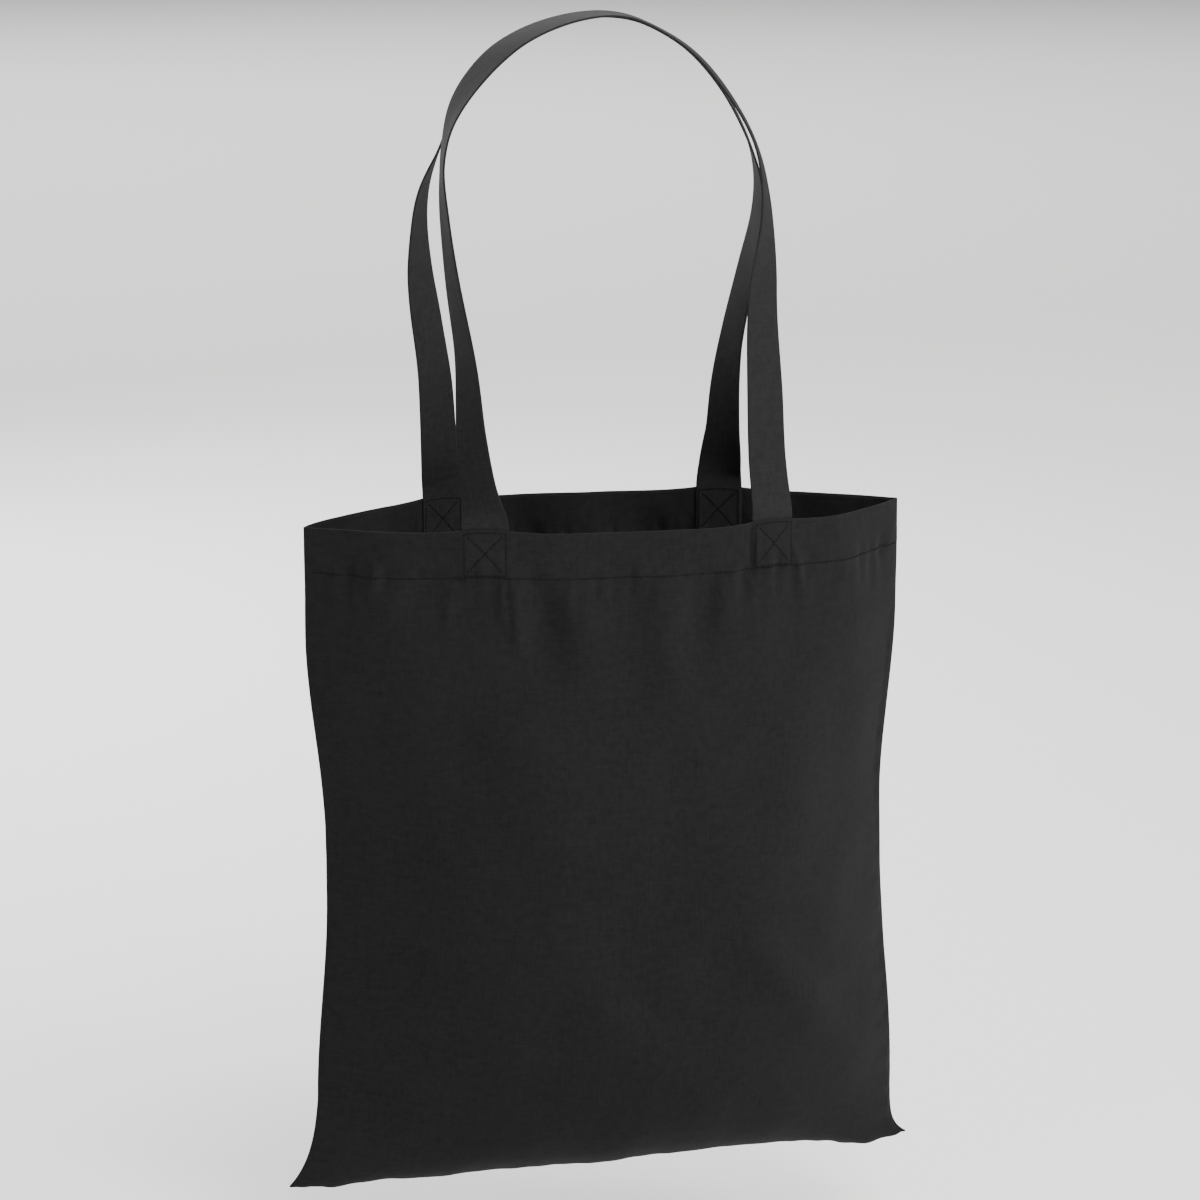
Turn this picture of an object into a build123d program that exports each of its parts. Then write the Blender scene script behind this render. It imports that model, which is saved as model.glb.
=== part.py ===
from build123d import *
import math
import os

import numpy as np

# A long-handled canvas tote bag, hanging open from its two handles.
# Millimetres. X runs along the mouth, -Y is the front, +Z is up.
# The origin is the hanging point: under the tops of the two handles.

# ---- driving dimensions -------------------------------------------------
MOUTH_HALF = 177.0          # half the distance between the side seams at the mouth
WAIST_PULL = 9.0            # how far each side seam is drawn in by the belly
WAIST_DROPS = (60.0, 180.0)     # where below the mouth it is drawn in
LOWER_SPREAD = 7.0          # how far it comes back out near the bottom
LOWER_DROPS = (220.0, 340.0)    # where below the mouth it comes back out
EAR_FLARE = 14.5            # extra half width at the flat bottom corners
EAR_POWER = 40              # how suddenly the corners flare
BAG_HEIGHT = 392.0          # mouth to bottom seam, as the open bag hangs
HANG_HEIGHT = 284.0         # hanging point above the mouth

FRONT_BOW = 61.0            # how far the front panel stands out at the mouth
REAR_BOW = 65.0             # the same for the rear panel
BELLY_BOW = 16.5            # further bulge half way down
BELLY_DROPS = (40.0, 200.0)     # where below the mouth the bulge grows
BOW_POWER = 2.6             # fullness of the bow across the width
BOTTOM_POWER = 7.2          # how late the belly rounds in to the bottom seam
MOUTH_SKEW = 0.22           # the mouth is sheared: front fuller right, rear fuller left
SKEW_FADE = 0.6             # share of the skew that is gone lower down
SKEW_DROPS = (0.0, 300.0)       # where below the mouth it fades

CANVAS = 1.2                # panel thickness
HEM_THICK = 1.0             # turned-in hem
HEM_DEPTH = 28.0
HEM_REACH = 0.93            # share of the half width that each hem covers
STRAP_WIDTH = 26.0
STRAP_THICK = 1.4
STRAP_X = 83.0              # strap centres either side of the middle
TAB_DEPTH = 25.0            # length of strap sewn inside the hem
TAB_RISE = 1.0              # how far the sewn end stands above the mouth
TAB_TURN = 16.0             # degrees the cloth turns away from X at a strap
LOOP_START = 1.6            # the moving loop begins this far above the mouth
CLEARANCE = 0.15            # air between plies that are sewn together
SEAM_GAP = 1.0              # half the distance between the panels at a seam

SEAM_WIDTH = 8.5            # overlocked allowance inside each seam
SEAM_THICK = 1.0
SEAM_INSET = 1.5            # allowance starts this far inside the seam line
SIDE_SEAM_GAP = 3.0         # air between a side allowance and the bottom one
BOTTOM_SEAM_END = 6.0       # the bottom allowance stops this far inside a side one

THREAD = 0.35
STITCH_LENGTH = 2.3
STITCH_PITCH = 3.3
BOX_WIDTH = 22.5            # stitched square with a cross in it
BOX_HEIGHT = 23.5
BOX_TOP = 1.6               # its top row below the mouth
HEM_ROW = 27.0              # hem stitching below the mouth
HEM_ROW_SPANS = 11          # straight spans that follow the bow

# Handle routes, chosen by hand: x, y, height above the mouth, and the
# direction of the strap's width, in degrees from +X.
FRONT_ROUTE = [
    (-85.0, -43.9, 23, -50), (-88.5, -39.0, 63, -67), (-91.0, -34.5, 103, -78),
    (-96.0, -30.0, 140, -85), (-99.6, -25.3, 180, -92), (-99.8, -22.5, 202, -99),
    (-96.5, -20.5, 222, -97), (-89.0, -18.7, 240, -86), (-79.8, -17.3, 252.7, -79),
    (-65.0, -15.7, 266.6, -72), (-46.0, -14.4, 277.6, -74), (-26.8, -13.6, 284.1, -79),
    (-7.0, -13.5, 286.6, -85), (10.6, -13.6, 284.6, -92), (25.5, -14.4, 278.7, -98),
    (44.5, -16.2, 266.7, -102), (60.4, -18.8, 249.8, -104), (72.3, -21.5, 232.8, -105),
    (82.0, -25.0, 212, -107), (86.3, -28.5, 189, -113), (86.8, -31.5, 168, -122),
    (84.0, -36.0, 140, -138), (81.5, -41.5, 105, -145), (82.0, -46.9, 69, -150),
    (82.2, -51.5, 32, -158),
]
REAR_ROUTE = [
    (-84.3, 57.8, 23, 19), (-86.5, 54.0, 50, 27), (-90.3, 48.0, 84, 33),
    (-95.5, 43.5, 112, 38), (-99.9, 38.2, 142.6, 47), (-101.0, 34.0, 166, 58),
    (-98.0, 30.0, 189, 66), (-89.5, 25.8, 212, 74), (-80.5, 22.0, 234, 77),
    (-70.0, 18.9, 251, 78), (-57.0, 16.6, 264, 79), (-39.0, 14.7, 275.5, 80),
    (-20.0, 13.7, 282, 82), (0.0, 13.5, 284.8, 84), (18.0, 13.6, 282.7, 83),
    (34.0, 14.4, 276, 80), (53.0, 16.2, 264, 78), (69.0, 18.4, 247.5, 76),
    (81.5, 20.6, 230, 75), (91.5, 22.8, 210.5, 76), (98.0, 25.2, 192, 81),
    (99.8, 27.6, 172, 88), (96.4, 31.0, 147, 92), (91.0, 35.0, 116, 99),
    (87.0, 38.2, 91.5, 103), (84.6, 41.8, 65, 112), (84.0, 44.5, 36, 123),
]
FOOT_TWIST = {("front", -1): -17.0, ("front", 1): -166.5,
              ("rear", -1): 13.5, ("rear", 1): 162.0}
STRAP_LEAN = 0.05           # rise of the strap's far edge over its near edge at the top
LOOP_STATIONS = 72

PANEL_ROWS = 48
PANEL_COLUMNS = 31
STRIP_ROWS = 6
TAB_COLUMNS = 9
SEAM_STATIONS = 14
SURFACE_TOLERANCE = 0.05

# Middles of the inner plies, measured out from the middle of the panel.
HEM_OFFSET = -(CANVAS / 2 + CLEARANCE + HEM_THICK / 2)
TAB_OFFSET = HEM_OFFSET - (HEM_THICK / 2 + CLEARANCE + STRAP_THICK / 2)


def smooth_step(value, start, end):
    """0 before start, 1 after end, and an even S-shaped rise between."""
    share = np.clip((value - start) / (end - start), 0.0, 1.0)
    return share * share * (3.0 - 2.0 * share)


def half_width(drop):
    """Distance from the middle to a side seam, at a drop below the mouth."""
    waist = -WAIST_PULL * smooth_step(drop, *WAIST_DROPS)
    lower = LOWER_SPREAD * smooth_step(drop, *LOWER_DROPS)
    ear = EAR_FLARE * (drop / BAG_HEIGHT) ** EAR_POWER
    return MOUTH_HALF + waist + lower + ear


def bow(side, drop):
    """How far the middle of a panel stands out from the seams, at a drop."""
    mouth_bow = FRONT_BOW if side == "front" else REAR_BOW
    belly = FRONT_BOW + BELLY_BOW - mouth_bow
    full = mouth_bow + belly * smooth_step(drop, *BELLY_DROPS)
    rounding = 1.0 - (drop / BAG_HEIGHT) ** BOTTOM_POWER
    return full * math.sqrt(max(rounding, 0.0))


def panel_point(side, x, drop):
    """Middle of the cloth's thickness at x and a drop below the mouth."""
    outward = -1.0 if side == "front" else 1.0
    across = max(-1.0, min(1.0, x / half_width(drop)))
    fade = 1.0 - SKEW_FADE * smooth_step(drop, *SKEW_DROPS)
    skew = 1.0 - outward * MOUTH_SKEW * across * fade
    depth = SEAM_GAP + bow(side, drop) * (1.0 - abs(across) ** BOW_POWER) * skew
    return Vector(x, outward * depth, -HANG_HEIGHT - drop)


def panel_normal(side, x, drop):
    """Unit vector out of the bag, square to the cloth."""
    step = 0.5
    low = max(drop - step, 0.0)
    high = min(drop + step, BAG_HEIGHT - 0.01)
    edge = half_width(drop) - 0.01
    left = panel_point(side, max(x - step, -edge), drop)
    right = panel_point(side, min(x + step, edge), drop)
    along = right - left
    down = panel_point(side, x, high) - panel_point(side, x, low)
    normal = along.cross(down).normalized()
    outward = -1.0 if side == "front" else 1.0
    points_out = normal.Y * outward > 0 or normal.Z < -0.9
    return normal if points_out else normal * -1.0


def cloth_point(side, x, drop, offset):
    """A point a distance outside the middle of the panel's thickness."""
    return panel_point(side, x, drop) + panel_normal(side, x, drop) * offset


def spread(start, end, count):
    """Evenly spaced values from start to end."""
    return [start + (end - start) * k / (count - 1) for k in range(count)]


def cloth_ply(side, columns, drops, offset, thickness):
    """One ply of cloth: a surface through a grid, made solid outwards.

    columns gives the x of each column at a drop below the mouth, and
    offset is the middle of the ply, measured out from the panel's middle.
    """
    inner = offset - thickness / 2
    grid = [[cloth_point(side, x, drop, inner) for x in columns(drop)] for drop in drops]
    face = Face.make_surface_from_array_of_points(grid, tol=SURFACE_TOLERANCE, max_deg=3)
    outward = -1.0 if side == "front" else 1.0
    return Solid.thicken(face, thickness, normal_override=(0, outward, 0))


def panel(side):
    """A whole panel, seam to seam and mouth to bottom seam."""
    quarter = math.pi / 2
    drops = [BAG_HEIGHT * math.sin(angle) for angle in spread(0.0, quarter, PANEL_ROWS)]
    shares = spread(-1.0, 1.0, PANEL_COLUMNS)
    return cloth_ply(side, lambda drop: [share * half_width(drop) for share in shares],
                     drops, 0.0, CANVAS)


def hem(side):
    """The panel's top edge turned in, lying inside it."""
    shares = spread(-HEM_REACH, HEM_REACH, PANEL_COLUMNS)
    drops = spread(0.0, HEM_DEPTH, STRIP_ROWS)
    return cloth_ply(side, lambda drop: [share * half_width(drop) for share in shares],
                     drops, HEM_OFFSET, HEM_THICK)


def strap_end(side, hand):
    """The sewn end of a handle, inside the hem and just above the mouth."""
    middle = hand * STRAP_X
    half = STRAP_WIDTH / 2 * math.cos(math.radians(TAB_TURN))
    across = spread(middle - half, middle + half, TAB_COLUMNS)
    flat = cloth_ply(side, lambda drop: across, spread(0.0, TAB_DEPTH, STRIP_ROWS),
                     TAB_OFFSET, STRAP_THICK)
    return Pos(0, 0, TAB_RISE) * flat


def side_seam(hand):
    """The overlocked allowance of a side seam, standing in between the panels."""
    top = HEM_DEPTH + SEAM_THICK
    bottom = BAG_HEIGHT - SEAM_WIDTH - SIDE_SEAM_GAP
    drops = spread(top, bottom, SEAM_STATIONS)
    outer = [(hand * (half_width(drop) - SEAM_INSET), -HANG_HEIGHT - drop) for drop in drops]
    inner = [(x - hand * SEAM_WIDTH, z) for x, z in outer]
    outline = Plane.XZ * Spline(*outer)
    back = Plane.XZ * Spline(*inner)
    edges = [outline, back, Line(outline @ 0, back @ 0), Line(outline @ 1, back @ 1)]
    return extrude(make_face(edges), amount=SEAM_THICK / 2, both=True)


def bottom_seam():
    """The overlocked allowance of the bottom seam, standing up inside."""
    length = 2 * (half_width(BAG_HEIGHT) - SEAM_WIDTH - BOTTOM_SEAM_END)
    low = -HANG_HEIGHT - BAG_HEIGHT + CANVAS
    return Pos(0, 0, low + SEAM_WIDTH / 2) * Box(length, SEAM_THICK, SEAM_WIDTH)


def stitch(side, start, end):
    """One straight stitch on the outside of a panel, between two (x, drop)."""
    lift = CANVAS / 2 + CLEARANCE + THREAD / 2
    first = cloth_point(side, start[0], start[1], lift)
    last = cloth_point(side, end[0], end[1], lift)
    middle = (first + last) * 0.5
    normal = panel_normal(side, (start[0] + end[0]) / 2, (start[1] + end[1]) / 2)
    place = Plane(origin=middle, x_dir=last - first, z_dir=normal)
    return place * Box(STITCH_LENGTH, THREAD, THREAD)


def stitch_row(side, start, end):
    """Stitches at an even pitch along a straight line of (x, drop)."""
    length = math.dist(start, end)
    count = max(int(length / STITCH_PITCH), 1)
    reach = STITCH_LENGTH / length / 2
    row = []
    for k in range(count):
        share = (k + 0.5) / count
        ends = []
        for at in (share - reach, share + reach):
            ends.append((start[0] + (end[0] - start[0]) * at, start[1] + (end[1] - start[1]) * at))
        row.append(stitch(side, ends[0], ends[1]))
    return row


def box_stitch(side, hand):
    """The stitched square with a cross that holds a strap end."""
    left = hand * STRAP_X - BOX_WIDTH / 2
    right = left + BOX_WIDTH
    top = BOX_TOP
    bottom = BOX_TOP + BOX_HEIGHT
    gap = STITCH_PITCH / 2
    rows = [
        ((left, top), (right, top)),
        ((left, bottom), (right, bottom)),
        ((left, top + gap), (left, bottom - gap)),
        ((right, top + gap), (right, bottom - gap)),
        ((left + gap, top + gap), (right - gap, bottom - gap)),
    ]
    stitches = []
    for start, end in rows:
        stitches += stitch_row(side, start, end)
    middle_x = (left + right) / 2
    middle_z = (top + bottom) / 2
    rise = (BOX_HEIGHT - 2 * gap) / (BOX_WIDTH - 2 * gap)
    for way in (-1, 1):
        near = (middle_x + way * gap, middle_z - way * gap * rise)
        far = (middle_x + way * (BOX_WIDTH / 2 - gap), middle_z - way * (BOX_HEIGHT / 2 - gap))
        stitches += stitch_row(side, near, far)
    return Compound(children=stitches)


def hem_stitching(side):
    """The row of stitches round the mouth that holds the turned-in hem."""
    edge = HEM_REACH * MOUTH_HALF
    columns = spread(-edge, edge, HEM_ROW_SPANS + 1)
    stitches = []
    for start, end in zip(columns[:-1], columns[1:]):
        stitches += stitch_row(side, (start, HEM_ROW), (end, HEM_ROW))
    return Compound(children=stitches)


def foot(side, hand):
    """Where the middle of a sewn strap end passes the mouth."""
    return cloth_point(side, hand * STRAP_X, 0.0, TAB_OFFSET)


def strap_loop(side, route):
    """A handle above the mouth: a flat strap that turns as it follows its route."""
    left = foot(side, -1)
    right = foot(side, 1)
    points = [(left.X, left.Y, -HANG_HEIGHT + LOOP_START)]
    points += [(x, y, height - HANG_HEIGHT) for x, y, height, twist in route]
    points += [(right.X, right.Y, -HANG_HEIGHT + LOOP_START)]
    twists = [FOOT_TWIST[side, -1]] + [twist for x, y, height, twist in route]
    twists += [FOOT_TWIST[side, 1]]
    steps = [math.dist(a, b) for a, b in zip(points[:-1], points[1:])]
    marks = np.concatenate([[0.0], np.cumsum(steps)]) / sum(steps)
    line = Spline(*points)
    sections = []
    for share in spread(0.0, 1.0, LOOP_STATIONS):
        angle = math.radians(float(np.interp(share, marks, twists)))
        tangent = line % share
        if share in (0.0, 1.0):
            tangent = Vector(0, 0, 1 if share == 0.0 else -1)
        width = Vector(math.cos(angle), math.sin(angle), STRAP_LEAN * math.sin(angle))
        width = (width - tangent * width.dot(tangent)).normalized()
        plane = Plane(origin=line @ share, x_dir=width, z_dir=tangent)
        sections.append(plane * Rectangle(STRAP_WIDTH, STRAP_THICK))
    return loft(sections, ruled=True)


NODES = {
    "front_panel": lambda: panel("front"),
    "rear_panel": lambda: panel("rear"),
    "front_hem": lambda: hem("front"),
    "rear_hem": lambda: hem("rear"),
    "left_side_seam": lambda: side_seam(-1),
    "right_side_seam": lambda: side_seam(1),
    "bottom_seam": bottom_seam,
    "front_handle": lambda: strap_loop("front", FRONT_ROUTE),
    "rear_handle": lambda: strap_loop("rear", REAR_ROUTE),
    "front_handle_left_end": lambda: strap_end("front", -1),
    "front_handle_right_end": lambda: strap_end("front", 1),
    "rear_handle_left_end": lambda: strap_end("rear", -1),
    "rear_handle_right_end": lambda: strap_end("rear", 1),
    "front_left_box_stitch": lambda: box_stitch("front", -1),
    "front_right_box_stitch": lambda: box_stitch("front", 1),
    "rear_left_box_stitch": lambda: box_stitch("rear", -1),
    "rear_right_box_stitch": lambda: box_stitch("rear", 1),
    "front_hem_stitching": lambda: hem_stitching("front"),
    "rear_hem_stitching": lambda: hem_stitching("rear"),
}

os.makedirs("parts", exist_ok=True)
for name, make in NODES.items():
    export_step(make(), f"parts/{name}.step")
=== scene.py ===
import math

import bpy
import numpy as np
from mathutils import Matrix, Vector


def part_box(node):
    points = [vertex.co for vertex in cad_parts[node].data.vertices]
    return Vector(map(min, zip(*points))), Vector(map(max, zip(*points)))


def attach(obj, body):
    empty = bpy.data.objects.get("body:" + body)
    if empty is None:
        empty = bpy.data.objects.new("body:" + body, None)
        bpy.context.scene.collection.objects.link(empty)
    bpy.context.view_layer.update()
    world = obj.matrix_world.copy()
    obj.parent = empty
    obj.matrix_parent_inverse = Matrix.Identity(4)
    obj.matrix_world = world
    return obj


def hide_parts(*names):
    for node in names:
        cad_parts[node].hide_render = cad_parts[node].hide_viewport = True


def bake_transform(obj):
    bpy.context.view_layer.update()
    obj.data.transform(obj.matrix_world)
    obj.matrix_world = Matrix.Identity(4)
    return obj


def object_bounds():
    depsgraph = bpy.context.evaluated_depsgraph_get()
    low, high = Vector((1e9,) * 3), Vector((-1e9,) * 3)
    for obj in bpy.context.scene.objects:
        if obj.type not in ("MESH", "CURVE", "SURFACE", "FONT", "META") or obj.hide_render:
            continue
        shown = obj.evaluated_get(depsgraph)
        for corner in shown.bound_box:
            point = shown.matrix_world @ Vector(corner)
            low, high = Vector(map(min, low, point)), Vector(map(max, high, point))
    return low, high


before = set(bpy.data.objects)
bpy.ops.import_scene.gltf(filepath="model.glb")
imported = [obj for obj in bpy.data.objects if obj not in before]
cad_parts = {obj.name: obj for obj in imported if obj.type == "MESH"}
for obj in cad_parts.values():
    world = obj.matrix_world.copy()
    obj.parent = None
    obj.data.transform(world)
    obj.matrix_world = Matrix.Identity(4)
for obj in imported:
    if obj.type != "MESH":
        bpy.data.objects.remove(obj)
cad_low, cad_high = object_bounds()

# ---------------------------------------------------------------- studio
# A seamless pale floor well below the hanging bag, four soft lamps round
# it, a large one over the floor behind and a weak even sky. The camera
# stands at the left front, above the mouth, and looks down into it.
mouth_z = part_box("front_panel")[1].z
CAMERA_TURN = math.radians(-14.9)
CAMERA_TILT = math.radians(12.0)
CAMERA_DISTANCE = 2.385
AIM_BELOW_MOUTH = 0.052
AIM_LEFT = 0.0028
LENS = 123.24
FLOOR_GAP = 0.06

look = np.array([-math.sin(CAMERA_TURN) * math.cos(CAMERA_TILT),
                 math.cos(CAMERA_TURN) * math.cos(CAMERA_TILT), -math.sin(CAMERA_TILT)])
right = np.array([math.cos(CAMERA_TURN), math.sin(CAMERA_TURN), 0.0])
above = np.cross(right, look)
aim = np.array([0.0, 0.0, mouth_z - AIM_BELOW_MOUTH]) - right * AIM_LEFT
eye = aim - look * CAMERA_DISTANCE
turn = Matrix(np.column_stack([right, above, -look]).tolist()).to_4x4()
camera_data = bpy.data.cameras.new("camera")
camera_data.lens = LENS
camera_data.sensor_width = 36.0
camera_data.clip_start = 0.05
camera_data.clip_end = 120.0
camera = bpy.data.objects.new("camera", camera_data)
camera.matrix_world = Matrix.Translation(eye.tolist()) @ turn
bpy.context.scene.collection.objects.link(camera)
bpy.context.scene.camera = camera


def area_lamp(name, place, size, power):
    """A square soft lamp at place, turned to face the middle of the bag."""
    data = bpy.data.lights.new(name, "AREA")
    data.size = size
    data.energy = power
    lamp = bpy.data.objects.new(name, data)
    target = np.array([0.0, 0.0, mouth_z - 0.15])
    back = np.array(place) - target
    back /= np.linalg.norm(back)
    side = np.cross([0.0, 0.0, 1.0], back)
    side /= np.linalg.norm(side)
    facing = np.column_stack([side, np.cross(back, side), back])
    lamp.matrix_world = Matrix.Translation(place) @ Matrix(facing.tolist()).to_4x4()
    bpy.context.scene.collection.objects.link(lamp)


area_lamp("key_lamp", (1.95, -1.65, 1.05), 1.2, 79.0)
area_lamp("fill_lamp", (0.20, -2.0, 1.80), 1.3, 100.0)
area_lamp("left_lamp", (-1.7, -1.0, 1.40), 1.2, 6.0)
area_lamp("back_lamp", (-0.6, 2.2, 0.9), 1.6, 76.0)
area_lamp("backdrop_lamp", (0.0, 8.0, 7.0), 7.0, 1500.0)

world = bpy.data.worlds.new("studio")
world.use_nodes = True
world.node_tree.nodes["Background"].inputs["Color"].default_value = (0.80, 0.81, 0.82, 1.0)
world.node_tree.nodes["Background"].inputs["Strength"].default_value = 0.34
bpy.context.scene.world = world

floor_z = cad_low.z - FLOOR_GAP
floor_data = bpy.data.meshes.new("floor")
FLOOR_HALF = 55.0
corners = ((-1, -1), (1, -1), (1, 1), (-1, 1))
floor_data.from_pydata([(x * FLOOR_HALF, y * FLOOR_HALF, floor_z) for x, y in corners],
                       [], [(0, 1, 2, 3)])
floor = bpy.data.objects.new("floor", floor_data)
bpy.context.scene.collection.objects.link(floor)
floor_paint = bpy.data.materials.new("floor_paint")
floor_paint.use_nodes = True
floor_shader = floor_paint.node_tree.nodes["Principled BSDF"]
floor_shader.inputs["Base Color"].default_value = (0.78, 0.775, 0.765, 1.0)
floor_shader.inputs["Roughness"].default_value = 0.85
floor_data.materials.append(floor_paint)

# ---------------------------------------------------------------- panels
# Two pieces of plain-woven black cotton canvas, 380 mm wide. They are sewn
# together down the sides and along the bottom, right sides in, and turned;
# the open bag hangs bowed out between its side seams, flat at the corners.
BAG_HEIGHT = mouth_z - cad_low.z - 0.0006
MOUTH_HALF = 0.177
WAIST_PULL = 0.009
LOWER_SPREAD = 0.007
LEFT_EAR = (0.0160, 17)
RIGHT_EAR = (0.0130, 52)
FRONT_BOW = 0.061
REAR_BOW = 0.065
BELLY_BOW = 0.0165
BOW_POWER = 2.6
BOTTOM_POWER = 7.2
MOUTH_SKEW = 0.22
SEAM_GAP = 0.0006
CANVAS = 0.00055
HEM_DEPTH = 0.028
STITCH_DROP = 0.0260
STRAP_X = 0.083
STRAP_WIDTH = 0.026
OUTWARD = {"front": -1.0, "rear": 1.0}


def ease(value, start, end):
    """0 before start, 1 after end, with an even S-shaped rise between."""
    share = np.clip((value - start) / (end - start), 0.0, 1.0)
    return share * share * (3.0 - 2.0 * share)


def bell(value, middle, width):
    """A smooth bump of height 1 at middle, down to a third at one width away."""
    return np.exp(-((value - middle) / width) ** 2)


def half_width(drop):
    """Half the distance between the side seams, at a drop below the mouth.

    The mouth's half width, less a smooth step at the waist, plus a smooth
    step near the bottom.
    """
    waist = -WAIST_PULL * ease(drop, 0.06, 0.18)
    lower = LOWER_SPREAD * ease(drop, 0.22, 0.34)
    return MOUTH_HALF + waist + lower


def ear(across, drop):
    """Sideways flare of the flat bottom corners: a steep power of the drop,
    which grows from the middle of the panel to its edges."""
    low = np.clip(drop / BAG_HEIGHT, 0.0, 1.0)
    reach = np.abs(across) ** 3
    left = np.where(across < 0.0, LEFT_EAR[0] * low ** LEFT_EAR[1], 0.0)
    right = np.where(across > 0.0, RIGHT_EAR[0] * low ** RIGHT_EAR[1], 0.0)
    return (right - left) * reach


def hang(side, across, drop):
    """The cloth's middle at a share across (-1 to 1) and a drop below the mouth.

    Depth is the bow times one minus a power of the share, sheared sideways;
    the bow swells with a smooth step and rounds in to nothing at the bottom.
    The rim is drawn up a little at the straps and the bottom edge waves.
    """
    outward = OUTWARD[side]
    mouth_bow = FRONT_BOW if side == "front" else REAR_BOW
    full = mouth_bow + (FRONT_BOW + BELLY_BOW - mouth_bow) * ease(drop, 0.04, 0.20)
    low = np.clip(drop / BAG_HEIGHT, 0.0, 1.0)
    bow = full * np.sqrt(np.clip(1.0 - low ** BOTTOM_POWER, 0.0, 1.0))
    share = np.clip(across, -1.0, 1.0)
    shear = 1.0 - outward * MOUTH_SKEW * share * (1.0 - 0.6 * ease(drop, 0.0, 0.3))
    depth = SEAM_GAP + bow * (1.0 - np.abs(share) ** BOW_POWER) * shear
    lean = 0.0006 + 0.0026 * ease(drop, 0.06, 0.33) * (1.0 - low ** 30)
    x = lean + across * half_width(drop) + ear(across, drop)
    pull = sum(bell(x, hand * STRAP_X, 0.020) for hand in (-1, 1))
    near_mouth = 1.0 - ease(drop, 0.0, 0.05)
    tips = 0.0035 * bell(x, 0.160, 0.016) + 0.0025 * bell(x, -0.165, 0.018)
    crown = 0.0025 * (1.0 - share ** 2)
    z = mouth_z - drop + 0.0028 * pull * near_mouth + (crown - tips) * low ** 14
    return np.stack([x, outward * depth, z], axis=-1)


def facing(side, across, drop):
    """Unit normal of hang, out of the bag: the cross product of its two slopes."""
    step = 0.002
    edge = np.clip(across, -1.0 + step, 1.0 - step)
    low = np.clip(drop, step, BAG_HEIGHT - step * 0.2)
    along = hang(side, edge + step, low) - hang(side, edge - step, low)
    down = hang(side, edge, low + step * 0.2) - hang(side, edge, low - step * 0.2)
    normal = np.cross(along, down)
    normal /= np.linalg.norm(normal, axis=-1, keepdims=True)
    return normal * OUTWARD[side]


# Each soft fold: middle x at its top, sideways run per metre of drop, top
# drop, length, half width and height (below zero for a valley), in metres.
FOLDS = {
    "front": [
        (-0.0685, 0.10, 0.026, 0.060, 0.0022, 0.0012), (-0.0985, -0.20, 0.026, 0.045, 0.0030, 0.0008),
        (-0.0740, 0.05, 0.032, 0.030, 0.0022, 0.0008), (0.0688, 0.05, 0.006, 0.036, 0.0012, -0.0011),
        (0.0975, 0.22, 0.020, 0.042, 0.0022, 0.0010), (0.0560, -0.10, 0.026, 0.050, 0.0040, 0.0012),
        (-0.0300, -0.08, 0.022, 0.100, 0.0110, 0.0020), (0.0160, 0.06, 0.020, 0.120, 0.0120, 0.0022),
        (0.0380, -0.05, 0.024, 0.090, 0.0070, -0.0016), (-0.0520, 0.10, 0.026, 0.080, 0.0075, -0.0014),
        (0.1250, 0.20, 0.000, 0.110, 0.0130, 0.0020), (-0.1300, -0.15, 0.000, 0.120, 0.0140, 0.0018),
        (-0.1050, 0.25, 0.090, 0.160, 0.0180, -0.0016), (0.0950, -0.30, 0.110, 0.180, 0.0200, 0.0018),
        (-0.0400, 0.55, 0.240, 0.140, 0.0150, 0.0014), (0.0660, 0.70, 0.235, 0.130, 0.0150, 0.0032),
    ],
    "rear": [
        (-0.0680, 0.10, 0.020, 0.050, 0.0028, 0.0014), (-0.0985, -0.16, 0.010, 0.040, 0.0022, -0.0014),
        (0.0670, -0.06, 0.026, 0.060, 0.0030, 0.0015), (0.0990, 0.18, 0.024, 0.045, 0.0030, 0.0012),
        (-0.0350, 0.08, 0.000, 0.110, 0.0110, 0.0022), (0.0050, -0.05, 0.000, 0.120, 0.0120, -0.0018),
        (0.0400, 0.04, 0.010, 0.100, 0.0090, 0.0018), (-0.1300, -0.12, 0.000, 0.120, 0.0140, -0.0018),
        (0.1280, 0.15, 0.000, 0.100, 0.0130, 0.0016), (0.0800, 0.35, 0.120, 0.170, 0.0190, 0.0016),
        (-0.0700, -0.30, 0.140, 0.180, 0.0200, 0.0017), (-0.1150, -0.60, 0.280, 0.100, 0.0120, 0.0018),
    ],
}
RIPPLE_SEED = {"front": 0.7, "rear": 3.9}


def ripple(x, y, seed, length):
    """Soft uneven waves about one unit high: a sum of four sines whose
    directions and phases differ, all near the given wave length."""
    total = 0.0
    for k in range(4):
        angle = seed * 1.7 + k * 2.39996
        pitch = 2.0 * math.pi / (length * (0.8 + 0.22 * k))
        total = total + np.sin((x * math.cos(angle) + y * math.sin(angle)) * pitch + seed * 5.1 + k * 1.3)
    return total / 4.0


GATHER_HEIGHT = 0.00240
FOLD_GAIN = 2.10
SLOW_WAVE = 0.00280
SHORT_WAVE = 0.00075
FINE_WAVE = 0.00010


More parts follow.
